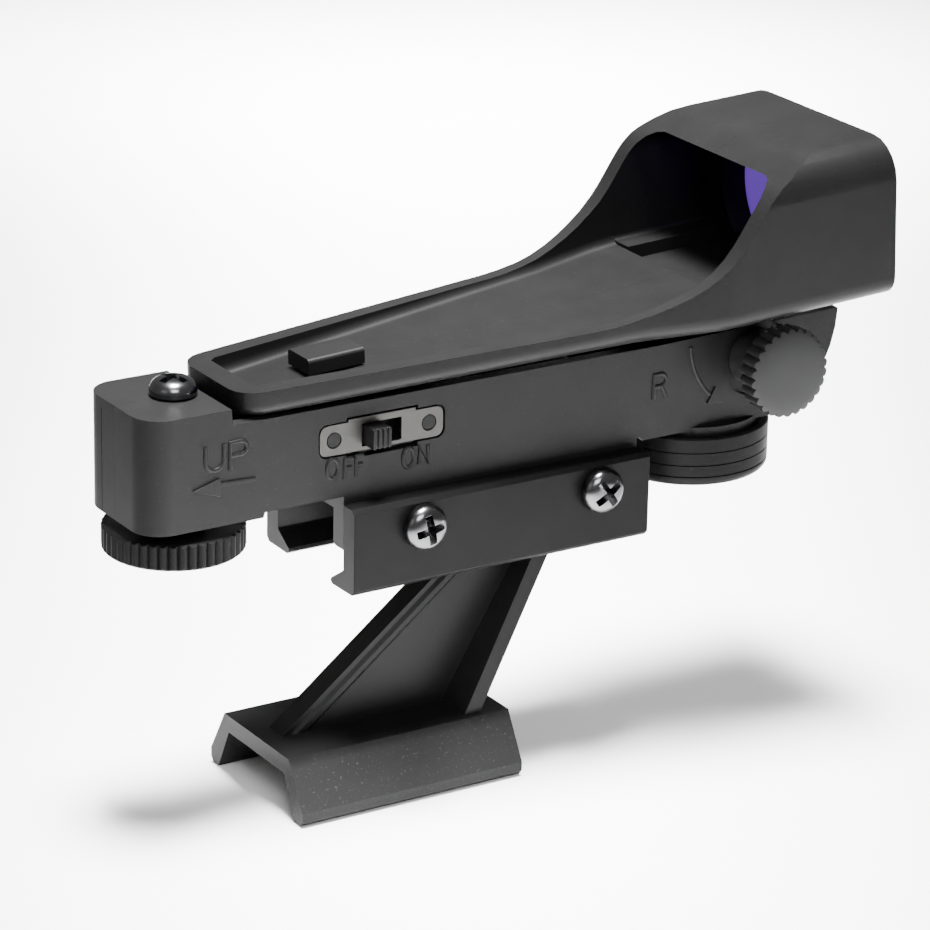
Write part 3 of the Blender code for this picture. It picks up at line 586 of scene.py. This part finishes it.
def pan_head_screw(node, body, axis, outward, turn):
    """Screw with a domed head and a deep tapered cross recess, on a CAD screw's place."""
    low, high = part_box(node)
    crown, tip = (high[axis], low[axis]) if outward > 0 else (low[axis], high[axis])
    centre = (Vector(low) + Vector(high)) / 2
    way = Vector((0, 0, 0))
    way[axis] = outward
    seat = centre.copy()
    seat[axis] = crown - outward * HEAD_HEIGHT * MM
    length = abs(seat[axis] - tip) / MM
    profile = [(0, -length), (SHAFT_RADIUS - SHAFT_CHAMFER, -length),
               (SHAFT_RADIUS, -length + SHAFT_CHAMFER),
               (SHAFT_RADIUS, 0), (HEAD_RADIUS - 0.12, 0), (HEAD_RADIUS, 0.12)]
    for step in range(13):
        lean = math.radians(90 * step / 12)
        profile.append((HEAD_RADIUS * math.cos(lean) ** 0.62,
                        HEAD_SKIRT + (HEAD_HEIGHT - HEAD_SKIRT) * math.sin(lean) ** 1.1))
    profile[-1] = (0, HEAD_HEIGHT)
    screw = spun(node + "_body", profile, seat, way, 72)
    crown_place = Matrix.Translation(seat + way * (HEAD_HEIGHT + 0.05) * MM) @ standing(way)
    for quarter in (0, 90):
        tool = wedge("recess", RECESS_TOP, RECESS_BOTTOM, RECESS_DEPTH)
        tool.data.transform(crown_place @ Matrix.Rotation(math.radians(turn + quarter), 4, "Z"))
        carved(screw, tool)
    edges_rounded(screw, 0.07, 2, 34.0)
    return settle(screw, body, "screws", SCREW_STEEL, node)


def scalloped(radius, depth, count, steps=8):
    """Outline of rounded ridges with sharp grooves between them."""
    points = []
    for k in range(count * steps):
        turn = 2 * math.pi * k / (count * steps)
        reach = radius - depth * (1 - abs(math.sin(count * turn / 2)) ** 0.8)
        points.append((reach * math.cos(turn), reach * math.sin(turn)))
    return points


def rod(radius, first, last):
    """Profile of a plain rod."""
    return [(0, first), (radius, first), (radius, last), (0, last)]


def turned_knob(node, body, finish, outline, axis, outward, profile, hub, hub_top, bore_top):
    """Ridged knob: an outline along its axis, trimmed by a turned envelope, with hub and bore."""
    low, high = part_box(node)
    centre = (Vector(low) + Vector(high)) / 2
    way = Vector((0, 0, 0))
    way[axis] = outward
    inner = low[axis] if outward > 0 else high[axis]
    centre[axis] = inner
    rings = [[(a * MM, b * MM, station * MM) for a, b in outline]
             for station in (profile[0][1] - 1.0, profile[-1][1] + 1.0)]
    points, faces = joined_rings(*rings)
    knob = solid(node + "_body", points, [], faces)
    knob.data.transform(Matrix.Translation(centre) @ standing(way))
    carved(knob, spun("envelope", profile, centre, way, 128), "INTERSECT")
    carved(knob, spun("hub", rod(hub, 0, hub_top), centre, way, 96), "UNION")
    carved(knob, spun("bore", rod(BORE_RADIUS, -1.0, bore_top), centre, way, 48))
    edges_rounded(knob, 0.08, 2, 30.0)
    return settle(knob, body, "knobs", finish, node)


def build_knobs():
    """Rear knob with a flat rim and side knob with a domed face."""
    low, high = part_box("altitude_knob")
    depth = (high.z - low.z) / MM
    rim = depth - 4.5
    # the rear knob takes the darker, duller copy of the knob plastic: painted shade
    turned_knob("altitude_knob", "altitude_adjuster", SHADED_KNOB, scalloped(12.0, 0.55, 44), 2, -1,
                [(0, rim), (11.5, rim), (12.2, rim + 0.5),
                 (12.2, depth - 0.6), (11.5, depth), (0, depth)],
                5.0, rim + 0.8, depth - 1.5)
    low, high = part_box("azimuth_knob")
    depth = (high.y - low.y) / MM
    rim = depth - 4.6
    dome_rise = 1.3
    dome = []
    for step in range(11):
        lean = math.radians(90 * step / 10)
        dome.append((8.3 * math.sin(lean), depth - dome_rise + dome_rise * math.cos(lean)))
    # the side knob takes the lighter, glossier copy of the knob plastic: painted light
    turned_knob("azimuth_knob", "azimuth_adjuster", KNOB, scalloped(8.0, 0.70, 26), 1, -1,
                [(0, rim), (7.8, rim), (8.3, rim + 0.5)] + dome[::-1],
                5.2, rim + 0.4, depth - 1.6)


def spring_body(node):
    """Spring with smooth coils in place of a CAD spring."""
    return settle(smooth(merged_copy(node, node + "_body")), "frame", "springs", SPRING_STEEL, node)


def build_springs():
    """Both springs, each with a mesh of its own."""
    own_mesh(spring_body("altitude_spring"))
    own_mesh(spring_body("azimuth_spring"))


def build_adjusters():
    """Screws, knobs, nuts and springs of the two adjusters."""
    build_knobs()
    build_springs()
    pan_head_screw("altitude_screw", "altitude_adjuster", 2, 1, 20.0)
    pan_head_screw("azimuth_screw", "azimuth_adjuster", 1, 1, 0.0)
    pan_head_screw("clamp_screw_rear", "clamp_screw_rear", 1, -1, 12.0)
    pan_head_screw("clamp_screw_front", "clamp_screw_front", 1, -1, 35.0)
    carried_over(TURNED_BRASS, "brass_nuts", "altitude_nut", "azimuth_nut")
    carried_over(SMALL_STEEL, "small_screws", "frame_screw_1", "frame_screw_2", "frame_screw_3",
                 "frame_screw_4", "housing_screw_1", "housing_screw_2")


# ---------------------------------------------------------------- switch and battery
def build_switch():
    """Plate, body and slider."""
    refined("switch_plate", "frame", "switch_plate", SHEET_NICKEL, 0.12)
    refined("switch_slider", "slider", "switch_plastic", SWITCH_BLACK, 0.15)
    carried_over(SWITCH_BLACK, "switch_plastic", "switch_body")


def build_battery():
    """Cap, cell and contacts."""
    low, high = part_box("battery_cap")
    middle = (Vector(low) + Vector(high)) / 2
    middle.z = low.z
    tall = (high.z - low.z) / MM
    outer, inner, floor, rounding = 14.5, 13.2, 3.0, 1.6
    profile = [(0, 0), (outer - rounding - 0.2, 0)]
    for turn in range(0, 91, 15):
        profile.append((outer - rounding + rounding * math.sin(math.radians(turn)),
                        1.5 - 1.5 * math.cos(math.radians(turn))))
    for groove in (1.9, 4.0, 6.3):
        profile += [(outer, groove - 0.13), (outer - 0.22, groove - 0.05),
                    (outer - 0.22, groove + 0.05), (outer, groove + 0.13)]
    profile += [(outer, tall - 0.3), (outer - 0.3, tall), (inner, tall), (inner, floor), (0, floor)]
    cap = spun("battery_cap_body", profile, middle, (0, 0, 1), 160)
    smooth(cap, 30.0)
    settle(cap, "cap", "battery_cap", CAP, "battery_cap")
    carried_over(CELL_CAN, "battery", "battery")
    carried_over(STRIP_NICKEL, "contacts", "contact_negative", "contact_positive")
    carried_over(LAMP, "lamp", "led_lamp")


# ---------------------------------------------------------------- stage
def pale_floor():
    """Plain pale floor under the foot."""
    bpy.ops.object.select_all(action="DESELECT")
    bpy.ops.mesh.primitive_plane_add(size=8.0, location=(0, 0, CAD_BOX[0][2] - 0.0002))
    floor = bpy.context.active_object
    floor.name = "floor"
    finish = Finish("floor_paper", Roughness=0.9)
    finish.feed("Base Color", finish.blend(finish.noise(400.0), grey(0.90), grey(0.93)))
    floor.data.materials.append(finish.material)


def soft_light(name, location, target, size, power, spread, turn=0.0):
    """Soft area light, narrowed by a grid to a spread in degrees."""
    data = bpy.data.lights.new(name, "AREA")
    data.shape = "RECTANGLE"
    data.size, data.size_y = size
    data.energy = power
    data.spread = math.radians(spread)
    lamp = placed(name, data)
    facing = (Vector(target) - Vector(location)).to_track_quat("-Z", "Y").to_matrix().to_4x4()
    lamp.matrix_world = (Matrix.Translation(location) @ facing
                         @ Matrix.Rotation(math.radians(turn), 4, "Z"))


def studio_light():
    """White surroundings, three downward washes on the floor and two lights on the piece."""
    world = bpy.data.worlds.new("studio")
    world.use_nodes = True
    world.node_tree.nodes["Background"].inputs["Color"].default_value = grey(1.0)
    world.node_tree.nodes["Background"].inputs["Strength"].default_value = 0.30
    bpy.context.scene.world = world
    overhead = Vector((0, 0, 0.65))
    for name, x, y, size, power in (("floor_wash", 0.105, 0.135, (0.15, 0.66), 5.2),
                                    ("floor_near", 0.21, -0.22, (0.12, 0.25), 1.1),
                                    ("floor_far", 0.25, 0.40, (0.45, 0.2), 2.2)):
        spot = Vector((x, y, 0.0))
        soft_light(name, spot + overhead, spot, size, power, 30.0, -VIEW_TURN)
    middle = (0.02, 0.0, 0.05)
    soft_light("near_high", (-0.35, -0.95, 0.85), middle, (0.6, 0.5), 1.6, 60.0)
    soft_light("rear_side", (-1.0, -0.3, 0.55), middle, (0.6, 0.6), 0.1, 60.0)


def long_lens():
    """Camera with a long lens at the right rear, a little above."""
    turn, lift, roll = (math.radians(angle) for angle in (VIEW_TURN, VIEW_LIFT, VIEW_ROLL))
    back = Vector((-math.sin(turn) * math.cos(lift), -math.cos(turn) * math.cos(lift),
                   math.sin(lift)))
    level = Vector((math.cos(turn), -math.sin(turn), 0.0))
    upright = back.cross(level)
    right = math.cos(roll) * level + math.sin(roll) * upright
    up = math.cos(roll) * upright - math.sin(roll) * level
    data = bpy.data.cameras.new("camera")
    data.lens = VIEW_LENS
    data.sensor_width = 36.0
    camera = placed("camera", data)
    facing = Matrix((right, up, back)).transposed().to_4x4()
    camera.matrix_world = Matrix.Translation(Vector(VIEW_AIM) + back * VIEW_DISTANCE) @ facing
    bpy.context.scene.camera = camera


build_housing()
build_optics()
build_frame()
build_clamp()
build_bracket()
build_adjusters()
build_switch()
build_battery()
pale_floor()
studio_light()
long_lens()
